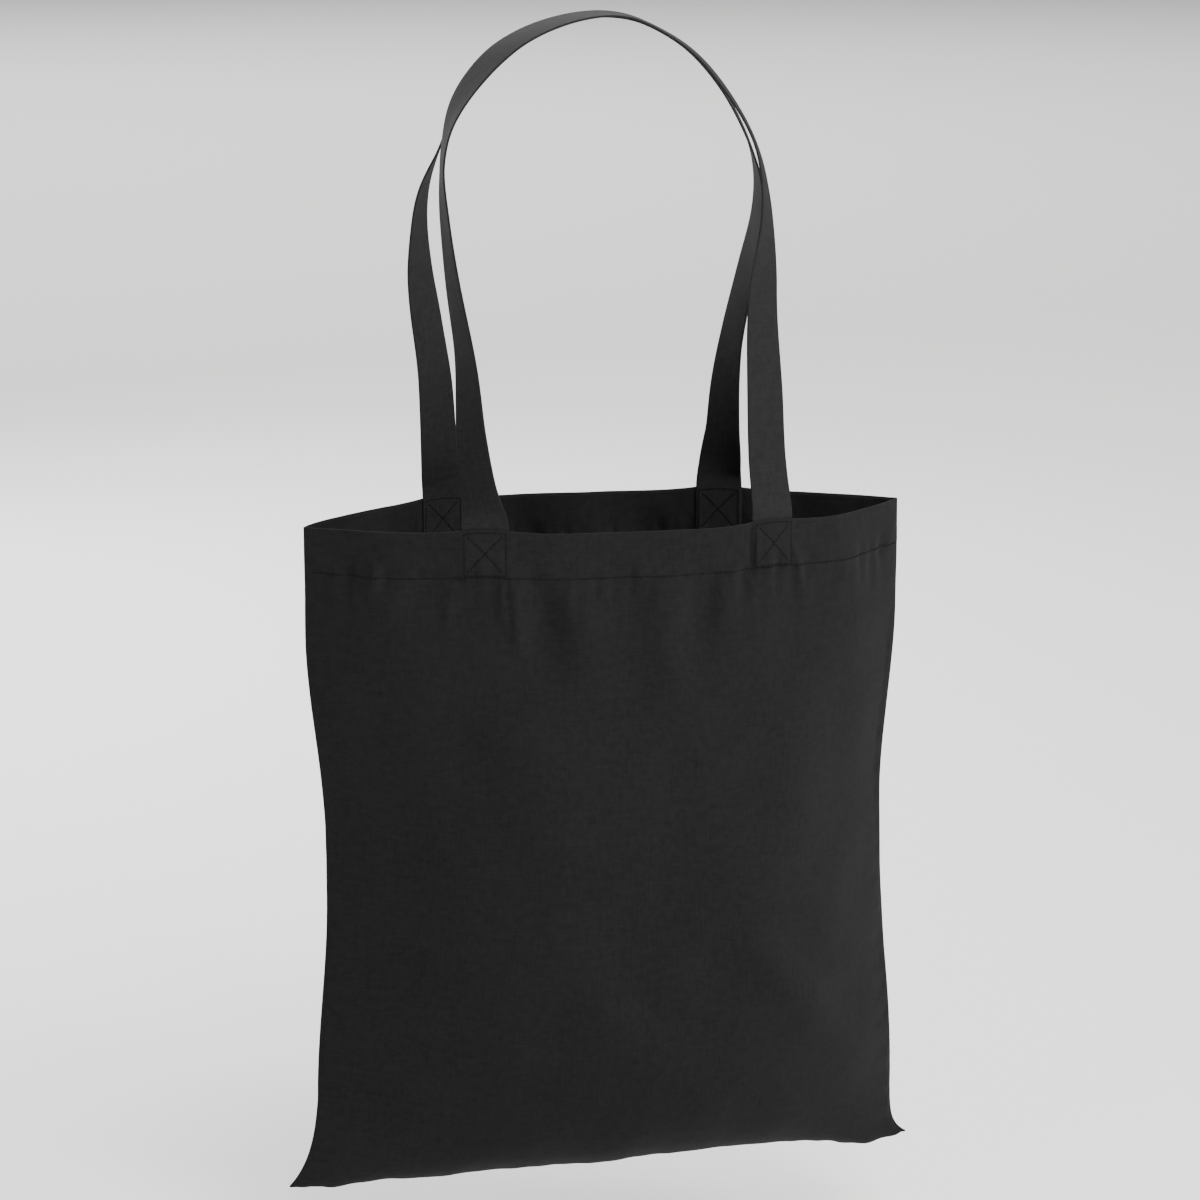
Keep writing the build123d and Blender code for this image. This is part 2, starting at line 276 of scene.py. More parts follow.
def relief(side, across, drop):
    """How far the cloth stands off its smooth hang, along the normal.

    Adds the doubled hem, its stitch line with gathers under it, the ridge
    of each strap end, listed soft folds, slow waves, and the puckers
    along the side and bottom seams.
    """
    seed = RIPPLE_SEED[side]
    x = across * half_width(drop)
    total = 0.00040 * (1.0 - ease(drop, 0.0262, 0.0278))
    total = total - 0.00030 * bell(drop, STITCH_DROP, 0.0010)
    gathers = ripple(x, drop * 0.15, seed, 0.0085) + 0.6 * ripple(x, drop * 0.1, seed + 2.0, 0.0150)
    below = ease(drop, 0.014, 0.026) * (1.0 - ease(drop, 0.028, 0.056))
    strength = 0.5 + 0.5 * ripple(x, x * 0.0, seed + 1.0, 0.060)
    total = total + GATHER_HEIGHT * gathers * below * strength
    for hand in (-1, 1):
        off = np.abs(x - hand * STRAP_X)
        patch = (1.0 - ease(off, 0.0105, 0.0160)) * (1.0 - ease(drop, 0.0262, 0.0300))
        total = total + 0.00055 * patch
        total = total - 0.00025 * bell(off, 0.0112, 0.0010) * (1.0 - ease(drop, 0.0245, 0.0262))
        total = total - 0.00020 * bell(drop, 0.0250, 0.0010) * (1.0 - ease(off, 0.0105, 0.0120))
        slant = np.abs(off - np.abs(drop - 0.0134)) / math.sqrt(2.0)
        total = total - 0.00006 * bell(slant, 0.0, 0.0009) * (1.0 - ease(off, 0.0095, 0.0115)) * patch
    for middle, run, top, length, width, height in FOLDS[side]:
        centre = middle + run * (drop - top)
        widen = width * (1.0 + 1.2 * np.clip((drop - top) / length, 0.0, 1.0))
        fade = ease(drop, top - 0.012, top + 0.25 * length)
        fade = fade * (1.0 - ease(drop, top + 0.3 * length, top + length))
        total = total + FOLD_GAIN * height * fade * bell(x, centre, widen)
    total = total + SLOW_WAVE * ripple(x, drop * 0.7, seed + 0.4, 0.105) * ease(drop, 0.02, 0.10)
    total = total + SHORT_WAVE * ripple(x, drop * 0.6, seed + 4.1, 0.034)
    total = total + FINE_WAVE * ripple(x, drop, seed + 6.2, 0.011)
    inward = (1.0 - np.clip(np.abs(across), 0.0, 1.0)) * half_width(drop)
    hand_phase = np.where(across > 0.0, 1.9, 0.0) + seed
    pucker = np.sin(drop * 2.0 * math.pi / 0.0155 + hand_phase + 1.4 * np.sin(drop * 41.0 + hand_phase))
    total = total + 0.00075 * pucker * np.exp(-inward / 0.0075) * ease(inward, 0.0, 0.0012)
    rise = (1.0 - np.clip(drop / BAG_HEIGHT, 0.0, 1.0)) ** 0.5
    low_pucker = np.sin(x * 2.0 * math.pi / 0.0170 + seed + 1.6 * np.sin(x * 37.0 + seed))
    total = total + 0.00070 * low_pucker * np.exp(-rise / 0.05) * ease(rise, 0.0, 0.008)
    settle = ease(inward, 0.0, 0.004) * ease(rise, 0.0, 0.02)
    return total * (0.25 + 0.75 * settle)


def cloth(side, across, drop, offset=0.0):
    """A point of the finished cloth: hang plus relief and offset along the normal."""
    normal = facing(side, across, drop)
    return hang(side, across, drop) + normal * (relief(side, across, drop) + offset)[..., None]


def curl(middle, normal, radius, angles, axis, at_end):
    """Adds rows that roll the edge of a sheet over, away from its normal.

    Past the edge the middle follows a circle of the given radius: along the
    edge's own direction by the sine, and back against the normal by one
    minus the cosine; the normal turns by the same angle.
    """
    middle = np.moveaxis(middle, axis, 0)
    normal = np.moveaxis(normal, axis, 0)
    if not at_end:
        middle = middle[::-1]
        normal = normal[::-1]
    edge = middle[-1]
    facing_edge = normal[-1]
    ahead = edge - middle[-2]
    ahead = ahead - facing_edge * np.sum(ahead * facing_edge, axis=-1, keepdims=True)
    ahead /= np.linalg.norm(ahead, axis=-1, keepdims=True)
    turns = angles[:, None, None]
    rolled = edge + ahead * radius * np.sin(turns) - facing_edge * radius * (1.0 - np.cos(turns))
    turned = facing_edge * np.cos(turns) + ahead * np.sin(turns)
    middle = np.concatenate([middle, rolled])
    normal = np.concatenate([normal, turned])
    if not at_end:
        middle = middle[::-1]
        normal = normal[::-1]
    return np.moveaxis(middle, 0, axis), np.moveaxis(normal, 0, axis)


def grid_faces(rows, columns, start=0, closed=False):
    """Quads of a grid of points numbered row by row; closed joins the last row to the first."""
    upper = np.arange(rows if closed else rows - 1)
    lower = (upper + 1) % rows
    column = np.arange(columns - 1)
    a = upper[:, None] * columns + column
    b = lower[:, None] * columns + column
    return np.stack([a, a + 1, b + 1, b], axis=-1).reshape(-1, 4) + start


def new_piece(name, points, faces, material, flat=None):
    """A mesh object from arrays of points and quads; flat gives each point's UV in metres."""
    data = bpy.data.meshes.new(name)
    points = np.asarray(points, float).reshape(-1, 3)
    faces = np.asarray(faces)
    data.vertices.add(len(points))
    data.vertices.foreach_set("co", points.astype(np.float32).ravel())
    data.loops.add(faces.size)
    data.loops.foreach_set("vertex_index", faces.astype(np.int32).ravel())
    data.polygons.add(len(faces))
    size = faces.shape[1]
    data.polygons.foreach_set("loop_start", np.arange(0, faces.size, size, dtype=np.int32))
    data.polygons.foreach_set("use_smooth", np.full(len(faces), True))
    if flat is not None:
        layer = data.uv_layers.new(name="cloth")
        layer.data.foreach_set("uv", np.asarray(flat, np.float32).reshape(-1, 2)[faces.ravel()].ravel())
    data.materials.append(material)
    data.update(calc_edges=True)
    data.validate()
    piece = bpy.data.objects.new(name, data)
    bpy.context.scene.collection.objects.link(piece)
    return piece


def turned_outwards(points, faces):
    """The faces, turned over if the closed shape's volume comes out below zero."""
    a, b, c, d = (points[faces[:, k]] for k in range(4))
    volume = np.sum(np.cross(b - a, c - a) * a) + np.sum(np.cross(c - a, d - a) * a)
    return faces if volume > 0 else faces[:, ::-1]


def canvas_material(name, tone, thread_pitch, bump, fuzz):
    """Black cotton cloth: a plain weave over and under at thread_pitch, drawn
    as the product of two sines of the UV, with slubs along both threads,
    cloudy fading from the dye and scattered pale neps."""
    material = bpy.data.materials.new(name)
    material.use_nodes = True
    tree = material.node_tree
    shader = tree.nodes["Principled BSDF"]
    shader.inputs["Roughness"].default_value = 0.92
    shader.inputs["Specular IOR Level"].default_value = 0.10
    shader.inputs["Sheen Weight"].default_value = fuzz
    shader.inputs["Sheen Roughness"].default_value = 0.55
    shader.inputs["Sheen Tint"].default_value = (0.85, 0.86, 0.88, 1.0)

    def node(kind, **inputs):
        made = tree.nodes.new(kind)
        for key, value in inputs.items():
            made.inputs[key.replace("_", " ")].default_value = value
        return made

    def math_node(operation, first, second=None):
        made = tree.nodes.new("ShaderNodeMath")
        made.operation = operation
        for socket, value in zip(made.inputs, (first, second)):
            if value is None:
                continue
            if isinstance(value, (int, float)):
                socket.default_value = value
            else:
                tree.links.new(value, socket)
        return made.outputs[0]

    uv = tree.nodes.new("ShaderNodeUVMap")
    uv.uv_map = "cloth"
    parts = tree.nodes.new("ShaderNodeSeparateXYZ")
    tree.links.new(uv.outputs["UV"], parts.inputs[0])
    turns = 2.0 * math.pi / (2.0 * thread_pitch)
    warp = math_node("SINE", math_node("MULTIPLY", parts.outputs["X"], turns))
    weft = math_node("SINE", math_node("MULTIPLY", parts.outputs["Y"], turns))
    weave = math_node("MULTIPLY", warp, weft)

    def stretched_noise(scale_x, scale_y, detail):
        mapping = node("ShaderNodeMapping")
        mapping.inputs["Scale"].default_value = (scale_x, scale_y, 1.0)
        tree.links.new(uv.outputs["UV"], mapping.inputs["Vector"])
        noise = node("ShaderNodeTexNoise", Scale=1.0, Detail=detail, Roughness=0.6)
        tree.links.new(mapping.outputs["Vector"], noise.inputs["Vector"])
        return noise.outputs["Fac"]

    slub_up = stretched_noise(900.0, 70.0, 2.0)
    slub_across = stretched_noise(70.0, 900.0, 2.0)
    cloud = stretched_noise(26.0, 22.0, 3.0)
    mottle = stretched_noise(260.0, 240.0, 2.0)
    slub = math_node("ADD", slub_up, slub_across)

    shade = math_node("ADD", math_node("MULTIPLY", slub, 0.55), math_node("MULTIPLY", mottle, 0.75))
    shade = math_node("ADD", shade, math_node("MULTIPLY", cloud, 0.35))
    shade = math_node("ADD", shade, math_node("MULTIPLY", weave, 0.05))
    ramp = tree.nodes.new("ShaderNodeValToRGB")
    ramp.color_ramp.elements[0].position = 0.62
    ramp.color_ramp.elements[1].position = 1.0
    dark = [channel * 0.74 for channel in tone]
    light = [channel * 1.26 for channel in tone]
    ramp.color_ramp.elements[0].color = (*dark, 1.0)
    ramp.color_ramp.elements[1].color = (*light, 1.0)
    tree.links.new(math_node("MULTIPLY", shade, 0.80), ramp.inputs["Fac"])

    neps = node("ShaderNodeTexVoronoi", Scale=1.0)
    nep_place = node("ShaderNodeMapping")
    nep_place.inputs["Scale"].default_value = (95.0, 80.0, 1.0)
    tree.links.new(uv.outputs["UV"], nep_place.inputs["Vector"])
    tree.links.new(nep_place.outputs["Vector"], neps.inputs["Vector"])
    spot = math_node("LESS_THAN", neps.outputs["Distance"], 0.055)
    mix = tree.nodes.new("ShaderNodeMix")
    mix.data_type = "RGBA"
    mix.inputs["B"].default_value = (*[channel * 1.9 for channel in tone], 1.0)
    tree.links.new(ramp.outputs["Color"], mix.inputs["A"])
    tree.links.new(math_node("MULTIPLY", spot, 0.5), mix.inputs["Factor"])
    tree.links.new(mix.outputs["Result"], shader.inputs["Base Color"])

    height = math_node("ADD", math_node("MULTIPLY", weave, 0.28), math_node("MULTIPLY", slub, 0.7))
    height = math_node("ADD", height, math_node("MULTIPLY", mottle, 0.5))
    lift = node("ShaderNodeBump", Strength=bump, Distance=0.00022)
    tree.links.new(height, lift.inputs["Height"])
    tree.links.new(lift.outputs["Normal"], shader.inputs["Normal"])
    return material


canvas = canvas_material("black_canvas", (0.0078, 0.0078, 0.0080), 0.00062, 0.60, 0.012)
PLY_GAP = 0.00005
SEAM_ROLL = SEAM_GAP - 0.00002
QUARTER_TURN = np.radians([18.0, 36.0, 54.0, 72.0, 90.0])
HALF_TURN = np.radians([30.0, 60.0, 90.0, 120.0, 150.0, 180.0])
RIM_START = CANVAS + PLY_GAP / 2.0


def crowded(low, high, count, middles, width, crowd):
    """count values from low to high, spaced crowd times closer near the middles."""
    fine = np.linspace(low, high, 4000)
    density = 1.0 + (crowd - 1.0) * sum(bell(fine, middle, width) for middle in middles)
    total = np.concatenate([[0.0], np.cumsum((density[1:] + density[:-1]) / 2.0)])
    return np.interp(np.linspace(0.0, total[-1], count), total, fine)


def sheet_shell(middle, normal, thickness):
    """Points and quads of a closed sheet: the grid pushed out and in by half
    the thickness, joined along its first and last rows and both side edges."""
    outer = (middle + normal * thickness / 2.0)[::-1]
    inner = middle - normal * thickness / 2.0
    points = np.concatenate([outer, inner])
    rows, columns = points.shape[:2]
    faces = [grid_faces(rows, columns, closed=True)]
    near = np.arange(rows // 2 - 1)
    cap = np.stack([near, near + 1, rows - 2 - near, rows - 1 - near], axis=-1) * columns
    faces.append(cap)
    faces.append(cap[:, ::-1] + columns - 1)
    points = points.reshape(-1, 3)
    return points, turned_outwards(points, np.concatenate(faces))


def cloth_uv(run, middle):
    """UVs in metres for a shell: run across, and length down the middle column."""
    steps = np.linalg.norm(np.diff(middle[:, middle.shape[1] // 2], axis=0), axis=-1)
    rise = np.concatenate([[0.0], np.cumsum(steps)])
    return np.stack(np.meshgrid(run, np.concatenate([rise[::-1], rise])), axis=-1)


def panel_drops():
    """Drops of the panel's rows: 1.2 mm apart in the hem, then sines that
    crowd towards the bottom seam, where the cloth turns under."""
    hem_rows = np.arange(RIM_START, 0.036, 0.0012)
    first = math.asin(hem_rows[-1] / BAG_HEIGHT)
    angles = np.linspace(first, math.pi / 2.0, 122)[1:]
    return np.concatenate([hem_rows, BAG_HEIGHT * np.sin(angles)])


def make_panel(side):
    """One panel as a closed sheet, rolled in at its sides and bottom, and
    folded over at the rim, where the hem goes on down inside it."""
    across = crowded(-1.0, 1.0, 250, (-0.469, 0.469), 0.09, 2.2)
    grid_across, grid_drop = np.meshgrid(across, panel_drops())
    middle = cloth(side, grid_across, grid_drop)
    normal = facing(side, grid_across, grid_drop)
    for axis, at_end in ((0, True), (1, True), (1, False)):
        middle, normal = curl(middle, normal, SEAM_ROLL, QUARTER_TURN, axis, at_end)
    middle, normal = curl(middle, normal, (CANVAS + PLY_GAP) / 2.0, HALF_TURN, 0, False)
    points, faces = sheet_shell(middle, normal, CANVAS)
    rolled = np.arange(len(QUARTER_TURN), 0, -1) * 0.0002
    run = np.concatenate([-0.19 - rolled, across * 0.19, 0.19 + rolled[::-1]])
    return new_piece(f"{side}_panel_cloth", points, faces, canvas, cloth_uv(run, middle))


for side in ("front", "rear"):
    panel = make_panel(side)
    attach(panel, "bag")
    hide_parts(f"{side}_panel")

# ------------------------------------------------------------------ hems
# The top 28 mm of each panel is turned in and lies against its inside,
# right up to the side seams. One row of stitches near its lower fold
# holds it, so it follows every gather of the panel.
HEM_OFFSET = -(CANVAS + PLY_GAP)
HEM_SHARE = 0.985

for side in ("front", "rear"):
    across = crowded(-HEM_SHARE, HEM_SHARE, 250, (-0.469, 0.469), 0.09, 2.2)
    grid_across, grid_drop = np.meshgrid(across, np.linspace(RIM_START, HEM_DEPTH, 22))
    middle = cloth(side, grid_across, grid_drop, HEM_OFFSET)
    normal = facing(side, grid_across, grid_drop)
    middle, normal = curl(middle, normal, 0.0003, QUARTER_TURN, 0, True)
    points, faces = sheet_shell(middle, normal, CANVAS)
    run = np.linspace(-0.19, 0.19, len(across)) + 0.003
    hem = new_piece(f"{side}_hem_cloth", points, faces, canvas, cloth_uv(run, middle))
    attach(hem, "bag")
    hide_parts(f"{side}_hem")

# --------------------------------------------------------------- handles
# Each handle is one strip of the same cloth, folded to a flat strap 26 mm
# wide. Its ends are sewn inside the hem. From there it rises in one long
# arch to the hanging point, and is turned edge-on along the top.
STRAP_THICK = 0.0013
TAB_OFFSET = -(1.5 * CANVAS + 2.0 * PLY_GAP + STRAP_THICK / 2.0)
TAB_END = 0.0285
# Each route: x, y, height above the mouth in millimetres, and the
# direction of the strap's width in degrees from +X.
ROUTES = {
    "front": [
        (-85.0, -43.9, 23, -50), (-88.5, -39.0, 63, -67), (-91.0, -34.5, 103, -78),
        (-96.0, -30.0, 140, -85), (-99.6, -25.3, 180, -92), (-99.8, -22.5, 202, -99),
        (-96.5, -20.5, 222, -97), (-89.0, -18.7, 240, -86), (-79.8, -17.3, 252.7, -79),
        (-65.0, -15.7, 266.6, -72), (-46.0, -14.4, 277.6, -74), (-26.8, -13.6, 284.1, -79),
        (-7.0, -13.5, 286.6, -85), (10.6, -13.6, 284.6, -92), (25.5, -14.4, 278.7, -98),
        (44.5, -16.2, 266.7, -102), (60.4, -18.8, 249.8, -104), (72.3, -21.5, 232.8, -105),
        (82.0, -25.0, 212, -107), (86.3, -28.5, 189, -113), (86.8, -31.5, 168, -122),
        (84.0, -36.0, 140, -140), (81.7, -41.5, 105, -150), (82.0, -46.9, 69, -157),
        (82.2, -51.5, 32, -162),
    ],
    "rear": [
        (-84.3, 57.8, 23, 19), (-86.5, 54.0, 50, 27), (-90.3, 48.0, 84, 33),
        (-95.5, 43.5, 112, 38), (-99.9, 38.2, 142.6, 47), (-101.0, 34.0, 166, 58),
        (-98.0, 30.0, 189, 66), (-89.5, 25.8, 212, 74), (-80.5, 22.0, 234, 77),
        (-70.0, 18.9, 251, 78), (-57.0, 16.6, 264, 79), (-39.0, 14.7, 275.5, 80),
        (-20.0, 13.7, 282, 82), (0.0, 13.5, 284.8, 84), (18.0, 13.6, 282.7, 83),
        (34.0, 14.4, 276, 80), (53.0, 16.2, 264, 78), (69.0, 18.4, 247.5, 76),
        (81.5, 20.6, 230, 75), (91.5, 22.8, 210.5, 76), (98.0, 25.2, 192, 81),
        (99.8, 27.6, 172, 88), (96.4, 31.0, 147, 92), (91.0, 35.0, 116, 99),
        (87.0, 38.2, 91.5, 103), (84.6, 41.8, 65, 112), (84.0, 44.5, 36, 123),
    ],
}
FOOT_TWIST = {"front": (-27.0, -166.5), "rear": (13.5, 162.0)}
# Creases where a strap bends over the rim: which foot, height above the
# mouth, slant across the strap and depth, in metres.
CREASES = {
    "front": [(-1, 0.0050, 0.06, 0.00030), (1, 0.0120, -0.20, 0.00020)],
    "rear": [(-1, 0.0085, 0.10, 0.00045), (-1, 0.0150, -0.08, 0.00030), (1, 0.0060, 0.03, 0.00045)],
}
STRAP_LEAN = 0.05


def natural_spline(marks, values, wanted):
    """A natural cubic spline through values at marks, read off at wanted.

    The curvatures at the marks come from one linear system, zero at both ends.
    """
    gaps = np.diff(marks)
    count = len(marks)
    system = np.eye(count)
    target = np.zeros((count, values.shape[1]))
    slopes = np.diff(values, axis=0) / gaps[:, None]
    for k in range(1, count - 1):
        system[k, k - 1] = gaps[k - 1]
        system[k, k] = 2.0 * (gaps[k - 1] + gaps[k])
        system[k, k + 1] = gaps[k]
        target[k] = 6.0 * (slopes[k] - slopes[k - 1])
    bends = np.linalg.solve(system, target)
    at = np.clip(np.searchsorted(marks, wanted) - 1, 0, count - 2)
    gap = gaps[at][:, None]
    after = (wanted - marks[at])[:, None]
    before = gap - after
    cubic = (bends[at] * before ** 3 + bends[at + 1] * after ** 3) / (6.0 * gap)
    near = (values[at] / gap - bends[at] * gap / 6.0) * before
    far = (values[at + 1] / gap - bends[at + 1] * gap / 6.0) * after
    return cubic + near + far


def tab_point(side, hand, along, rise, out):
    """A point of a sewn strap end, which follows the hem it is sewn to.

    along is the distance from the strap's centre in X and rise the height
    above the mouth; above the rim the cloth's own slope is carried on.
    """
    drop = np.maximum(-rise, 0.0)
    across = (hand * STRAP_X + along) / half_width(drop)
    base = cloth(side, across, drop, TAB_OFFSET) + facing(side, across, drop) * out[..., None]
    rim = cloth(side, (hand * STRAP_X + along) / half_width(0.0), drop * 0.0, TAB_OFFSET)
    lower = cloth(side, (hand * STRAP_X + along) / half_width(0.004), drop * 0.0 + 0.004, TAB_OFFSET)
    slope = (rim - lower) / np.linalg.norm(rim - lower, axis=-1, keepdims=True)
    return base + slope * np.maximum(rise, 0.0)[..., None]


def strap_surface(side, stations, along, out):
    """Points of a strap at stations (metres along it), and at each (along,
    out) of its flat section: the sewn ends follow the hem, the loop follows
    the spline through the route, and the two are blended above the rim."""
    route = np.array(ROUTES[side])
    centres = np.column_stack([route[:, 0], route[:, 1], route[:, 2]]) * 0.001
    centres[:, 2] += mouth_z
    zero = np.zeros(1)
    ends = {}
    for hand in (-1, 1):
        ends[hand] = [tab_point(side, hand, zero, zero - drop, zero)[0] for drop in (TAB_END, 0.013, 0.0)]
    points = np.array(ends[-1] + list(centres) + ends[1][::-1])
    first, last = FOOT_TWIST[side]
    twists = np.concatenate([[first] * 3, route[:, 3], [last] * 3])[:, None]
    marks = np.concatenate([[0.0], np.cumsum(np.linalg.norm(np.diff(points, axis=0), axis=-1))])
    wanted = np.clip(stations, 0.0, 1.0) * marks[-1]
    centre = natural_spline(marks, points, wanted)
    ahead = natural_spline(marks, points, np.minimum(wanted + 0.0005, marks[-1]))
    behind = natural_spline(marks, points, np.maximum(wanted - 0.0005, 0.0))
    tangent = ahead - behind
    tangent /= np.linalg.norm(tangent, axis=-1, keepdims=True)
    angle = np.interp(wanted, marks, twists[:, 0])
    kernel = np.hanning(13)
    padded_angle = np.concatenate([angle[:1].repeat(6), angle, angle[-1:].repeat(6)])
    angle = np.radians(np.convolve(padded_angle, kernel / kernel.sum(), mode="valid"))
    width = np.stack([np.cos(angle), np.sin(angle), STRAP_LEAN * np.sin(angle)], axis=-1)
    width -= tangent * np.sum(width * tangent, axis=-1, keepdims=True)
    width /= np.linalg.norm(width, axis=-1, keepdims=True)
    normal = np.cross(width, tangent)
    soft = 0.00040 * ripple(wanted[:, None], along[None, :], RIPPLE_SEED[side] + 2.2, 0.045)
    for hand, height, slant, depth in CREASES[side]:
        rim_mark = marks[2] if hand < 0 else marks[-3]
        line = rim_mark - hand * height + slant * along[None, :]
        soft = soft - depth * bell(wanted[:, None], line, 0.0016) * (1.0 + 0.6 * along[None, :] / 0.013)
    loop = centre[:, None] + width[:, None] * along[None, :, None]
    loop = loop + normal[:, None] * (out[None, :] + soft)[..., None]
    outward = -OUTWARD[side]
    for hand, rise in ((-1, wanted - marks[2]), (1, marks[-3] - wanted)):
        near = rise < 0.03
        rises = np.repeat(rise[near][:, None], len(along), axis=1)
        sideways = np.broadcast_to(along * -hand, rises.shape)
        outs = np.broadcast_to(out * outward, rises.shape)
        sewn = tab_point(side, hand, sideways, rises, outs)
        share = ease(rises, -0.001, 0.013)[..., None]
        loop[near] = sewn * (1.0 - share) + loop[near] * share
    return loop, marks[-1]


def strap_section():
    """The strap's flat section, anticlockwise: rounded folded edges, and
    faces that thin a little towards them. It starts on one edge, so that
    the first point pairs with the last across the thickness, and so on."""
    half = STRAP_WIDTH / 2.0
    thick = STRAP_THICK / 2.0
    across = np.array([-1.0, -0.93, -0.8, -0.55, -0.28, 0.0, 0.28, 0.55, 0.8, 0.93, 1.0]) * (half - thick)
    swell = thick * (1.0 - 0.10 * (across / half) ** 2)
    turn = np.radians([-54.0, -18.0, 18.0, 54.0])
    edge_along = half - thick + thick * np.cos(turn)
    edge_out = thick * 0.95 * np.sin(turn)
    along = np.concatenate([across, edge_along, across[::-1], -edge_along[::-1]])
    out = np.concatenate([-swell, edge_out, swell[::-1], edge_out[::-1]])
    return np.roll(along, 2), np.roll(out, 2)


# Painted light: the handles are the panels' cloth, given a tone 1.4 times lighter to brighten straps that
# the lamps and occlusion leave darker.
strap_canvas_painted_light = canvas_material("strap_canvas_painted_light", (0.0108, 0.0108, 0.0111), 0.00062, 0.60, 0.014)


def make_strap(side):
    """One whole handle as a closed strip, sewn end to sewn end."""
    along, out = strap_section()
    stations = np.linspace(0.0, 1.0, 420)
    rings, length = strap_surface(side, stations, along, out)
    count = len(along)
    points = rings.reshape(-1, 3)
    ring = np.arange(len(stations) - 1)[:, None] * count
    here = np.arange(count)
    after = (here + 1) % count
    faces = [np.stack([ring + here, ring + after, ring + count + after, ring + count + here],
                      axis=-1).reshape(-1, 4)]
    low = np.arange(count // 2 - 1)
    cap = np.stack([low, low + 1, count - 2 - low, count - 1 - low], axis=-1)
    faces.append(cap[:, ::-1])
    faces.append(cap + (len(stations) - 1) * count)
    faces = turned_outwards(points, np.concatenate(faces))
    flat = np.stack(np.broadcast_arrays(along[None, :] + out[None, :], stations[:, None] * length), axis=-1)
    return new_piece(f"{side}_handle_ribbon", points, faces, strap_canvas_painted_light, flat), length


def bend_at_rim(piece):
    """Bakes the piece's transform into its mesh points."""
    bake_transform(piece)


for side in ("front", "rear"):
    strap, strap_length = make_strap(side)
    bend_at_rim(strap)
    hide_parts(f"{side}_handle", f"{side}_handle_left_end", f"{side}_handle_right_end")

# ------------------------------------------------------- seam allowances
# Inside the bag both raw edges of every seam lie together, 8.5 mm wide,
# and are bound by overlock thread. The side ones run down from the hem,
# and the bottom one stands up along the bottom seam.
SEAM_WIDTH = 0.0085
seam_canvas = canvas_material("seam_canvas", (0.0084, 0.0084, 0.0086), 0.00062, 0.60, 0.012)


def thread_material(name, tone):
    """Dull spun thread: fine slanting twist lines over a dark tone."""
    material = bpy.data.materials.new(name)
    material.use_nodes = True
    tree = material.node_tree
    shader = tree.nodes["Principled BSDF"]
    shader.inputs["Base Color"].default_value = (*tone, 1.0)
    shader.inputs["Roughness"].default_value = 0.75
    shader.inputs["Specular IOR Level"].default_value = 0.12
    shader.inputs["Sheen Weight"].default_value = 0.01
    place = tree.nodes.new("ShaderNodeTexCoord")
    twist = tree.nodes.new("ShaderNodeTexWave")
    twist.bands_direction = "DIAGONAL"
    twist.inputs["Scale"].default_value = 900.0
    tree.links.new(place.outputs["Object"], twist.inputs["Vector"])
    lift = tree.nodes.new("ShaderNodeBump")
    lift.inputs["Strength"].default_value = 0.4
    lift.inputs["Distance"].default_value = 0.0001
    tree.links.new(twist.outputs["Fac"], lift.inputs["Height"])
    tree.links.new(lift.outputs["Normal"], shader.inputs["Normal"])
    return material


thread = thread_material("black_thread", (0.0050, 0.0050, 0.0051))


def tube(line, radius, sides):
    """Points and quads of a closed tube of the given radius round a line of points."""
    tangent = np.gradient(line, axis=0)
    tangent /= np.linalg.norm(tangent, axis=-1, keepdims=True)
    side_way = np.cross(tangent, [0.31, 0.88, 0.36])
    side_way /= np.linalg.norm(side_way, axis=-1, keepdims=True)
    other = np.cross(tangent, side_way)
    turn = np.linspace(0.0, 2.0 * math.pi, sides, endpoint=False)
    ring = side_way[:, None] * np.cos(turn)[None, :, None] + other[:, None] * np.sin(turn)[None, :, None]
    points = (line[:, None] + ring * radius).reshape(-1, 3)
    start = np.arange(len(line) - 1)[:, None] * sides
    here = np.arange(sides)
    after = (here + 1) % sides
    faces = [np.stack([start + here, start + after, start + sides + after, start + sides + here],
                      axis=-1).reshape(-1, 4)]
    low = np.arange(sides // 2 - 1)
    cap = np.stack([low, low + 1, sides - 2 - low, sides - 1 - low], axis=-1)
    faces.append(cap[:, ::-1])
    faces.append(cap + (len(line) - 1) * sides)
    return points, np.concatenate(faces)


def seam_frame(name, count):
    """Seam edge points, the way in from the edge, and the way across the plies."""
    if name == "bottom":
        reach = half_width(BAG_HEIGHT) - SEAM_WIDTH - 0.002
        x = np.linspace(-reach, reach, count)
        sway = 0.0012 * ripple(x, x * 0.0, 1.3, 0.060)
        edge = np.stack([x, sway * 0.0, x * 0.0 + mouth_z - BAG_HEIGHT + 0.0014], axis=-1)
        inward = np.stack([x * 0.0, sway * 60.0, x * 0.0 + 1.0], axis=-1)
        across = np.broadcast_to([0.0, 1.0, 0.0], edge.shape)
    else:
        hand = -1.0 if name == "left" else 1.0
        drop = np.linspace(HEM_DEPTH + 0.001, BAG_HEIGHT - SEAM_WIDTH - 0.003, count)
        sway = ripple(drop, drop * 0.0, 2.1 + hand, 0.080)
        edge = np.stack([hand * (half_width(drop) - 0.0015), drop * 0.0, mouth_z - drop], axis=-1)
        inward = np.stack([drop * 0.0 - hand, sway * 0.10, drop * 0.0], axis=-1)
        across = np.broadcast_to([0.0, 1.0, 0.0], edge.shape)
    inward /= np.linalg.norm(inward, axis=-1, keepdims=True)
    return edge, inward, across


def make_allowance(name):
    """The two raw edges of one seam as a flat closed strip."""
    edge, inward, across = seam_frame(name, 150)
    shares = np.linspace(0.0, 1.0, 7)
    middle = edge[None] + inward[None] * SEAM_WIDTH * shares[:, None, None]
    normal = np.broadcast_to(across[None], middle.shape)
    points, faces = sheet_shell(middle, normal, 2.0 * CANVAS)
    steps = np.concatenate([[0.0], np.cumsum(np.linalg.norm(np.diff(edge, axis=0), axis=-1))])
    rise = shares * SEAM_WIDTH
    flat = np.stack(np.meshgrid(steps, np.concatenate([rise[::-1], rise])), axis=-1)
    return new_piece(f"{name}_seam_edges", points, faces, seam_canvas, flat)


